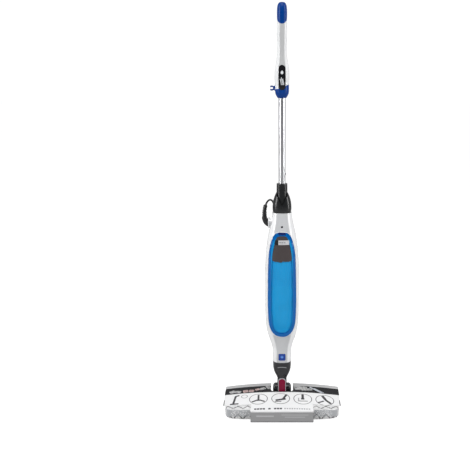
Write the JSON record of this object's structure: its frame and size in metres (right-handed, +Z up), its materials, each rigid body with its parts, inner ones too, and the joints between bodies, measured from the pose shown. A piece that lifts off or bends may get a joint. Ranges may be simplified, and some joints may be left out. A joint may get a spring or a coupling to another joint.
{
  "type": "steam mop",
  "caption": "Upright steam mop with a slim white body, removable blue water tank, metal pole, swivel neck and a flip-over padded head with folding sides and a stowed mains lead.",
  "frame": {"origin": "the middle of the mop pad's underside, on the floor", "axes": "+Z up along the pole, -Y is the front with the tank, +X to the right seen from the front"},
  "size_m": [0.351, 0.2435, 1.2],
  "materials": {
    "white_shell": "glossy white",
    "blue_plastic": "glossy blue",
    "navy_plastic": "satin navy",
    "tank_blue": "translucent blue plastic",
    "tank_cap_plastic": "moulded blue",
    "insert_dark": "satin",
    "silver_plate": "printed plate",
    "bay_white": "moulded",
    "charcoal": "satin charcoal",
    "badge_black": "gloss black",
    "pole_metal": "satin anodised",
    "crimson": "gloss",
    "pale_grey": "satin",
    "steel": "bright",
    "lamp_dark": "dark lens",
    "cast_alloy": "die cast",
    "pump_plastic": "moulded",
    "board": "circuit board",
    "hose": "silicone",
    "cord_black": "matt black",
    "tie_strap": "hook and loop strap",
    "pin_brass": "bright",
    "pad_terry": "white terry with grey zigzags",
    "card_print": "printed card"
  },
  "bodies": {
    "mop_body": {"body_front_shell": "white_shell", "body_rear_shell": "white_shell", "body_screws": "steel", "indicator_lens": "lamp_dark", "tank_bay": "bay_white", "boiler_block": "cast_alloy", "boiler_heater": "cast_alloy", "thermostat": "steel", "pump_body": "pump_plastic", "control_board": "board", "inlet_hose": "hose", "steam_hose": "hose", "neck_cup": "charcoal", "neck_socket": "charcoal", "neck_plug": "charcoal", "collar_stem": "charcoal", "collar_skirt": "charcoal", "pole_tube": "pole_metal", "handle_front_shell": "white_shell", "handle_rear_shell": "white_shell", "handle_screws": "steel", "handle_grip_cap": "blue_plastic", "handle_badge": "badge_black", "handle_collar": "blue_plastic", "cord_clip": "blue_plastic", "hook_pivot_screw": "steel", "lower_cord_hook": "charcoal", "boot_flange": "white_shell", "cord_boot": "cord_black", "cord_lead": "cord_black", "cord_hank": "cord_black", "hank_tie": "tie_strap", "cord_tail": "cord_black", "plug_body": "cord_black", "plug_pins": "pin_brass"},
    "tank": {"tank_shell": "tank_blue", "tank_insert": "insert_dark", "tank_plate": "silver_plate", "tank_valve": "tank_cap_plastic"},
    "tank_cap": {"tank_filler_cap": "tank_cap_plastic"},
    "latch": {"tank_latch": "navy_plastic"},
    "button": {"release_button": "blue_plastic"},
    "snap": {"snap_button": "steel"},
    "cord_hook": {"upper_cord_hook": "navy_plastic"},
    "ankle": {"ankle_yoke": "charcoal", "pedal_surround": "pale_grey", "flip_axle": "steel", "swivel_spigot": "charcoal"},
    "pedal": {"release_pedal": "crimson"},
    "head_hub": {"hub_frame": "pale_grey", "hub_cover": "pale_grey", "wing_hinge_pins": "steel", "pad_centre": "pad_terry"},
    "wing_l": {"wing_left_frame": "pale_grey", "wing_left_cover": "pale_grey", "pad_left": "pad_terry"},
    "wing_r": {"wing_right_frame": "pale_grey", "wing_right_cover": "pale_grey", "pad_right": "pad_terry"},
    "sleeve": {"card_sleeve": "card_print"}
  },
  "joints": [
    {"name": "tank_lift_out", "type": "slide", "parent": "mop_body", "child": "tank", "axis": [0, -1, 0], "range_m": [0, 0.08]},
    {"name": "filler_cap_turn", "type": "hinge", "parent": "tank", "child": "tank_cap", "pos_m": [0, 0.0405, 0.492], "axis": [0, 1, 0], "range_deg": [0, 90]},
    {"name": "tank_latch_press", "type": "slide", "parent": "mop_body", "child": "latch", "axis": [0, 1, 0], "range_m": [0, 0.003], "stiffness_N_per_m": 600, "springref_m": -0.002},
    {"name": "release_button_press", "type": "slide", "parent": "mop_body", "child": "button", "axis": [0, 1, 0], "range_m": [0, 0.003], "stiffness_N_per_m": 900, "springref_m": -0.002},
    {"name": "snap_button_press", "type": "slide", "parent": "mop_body", "child": "snap", "axis": [-0.8192, 0.5736, 0], "range_m": [0, 0.0024], "stiffness_N_per_m": 1500, "springref_m": -0.002},
    {"name": "cord_hook_turn", "type": "hinge", "parent": "mop_body", "child": "cord_hook", "pos_m": [0, 0.0655, 0.958], "axis": [0, 1, 0], "range_deg": [0, 180]},
    {"name": "neck_swivel", "type": "hinge", "parent": "mop_body", "child": "ankle", "pos_m": [0, 0.0445, 0.093], "axis": [0, 0, 1], "range_deg": [-90, 90]},
    {"name": "pedal_press", "type": "slide", "parent": "ankle", "child": "pedal", "axis": [0, 1, 0], "range_m": [0, 0.003], "stiffness_N_per_m": 1500, "springref_m": -0.002},
    {"name": "head_flip", "type": "hinge", "parent": "ankle", "child": "head_hub", "pos_m": [0, 0.0445, 0.024], "axis": [1, 0, 0], "range_deg": [0, 180]},
    {"name": "left_wing_fold", "type": "hinge", "parent": "head_hub", "child": "wing_l", "pos_m": [-0.036, 0, 0.024], "axis": [0, -1, 0], "range_deg": [0, 50]},
    {"name": "right_wing_fold", "type": "hinge", "parent": "head_hub", "child": "wing_r", "pos_m": [0.036, 0, 0.024], "axis": [0, 1, 0], "range_deg": [0, 50]},
    {"name": "sleeve_pull_off", "type": "slide", "parent": "head_hub", "child": "sleeve", "axis": [0, -1, 0], "range_m": [0, 0.22]}
  ]
}
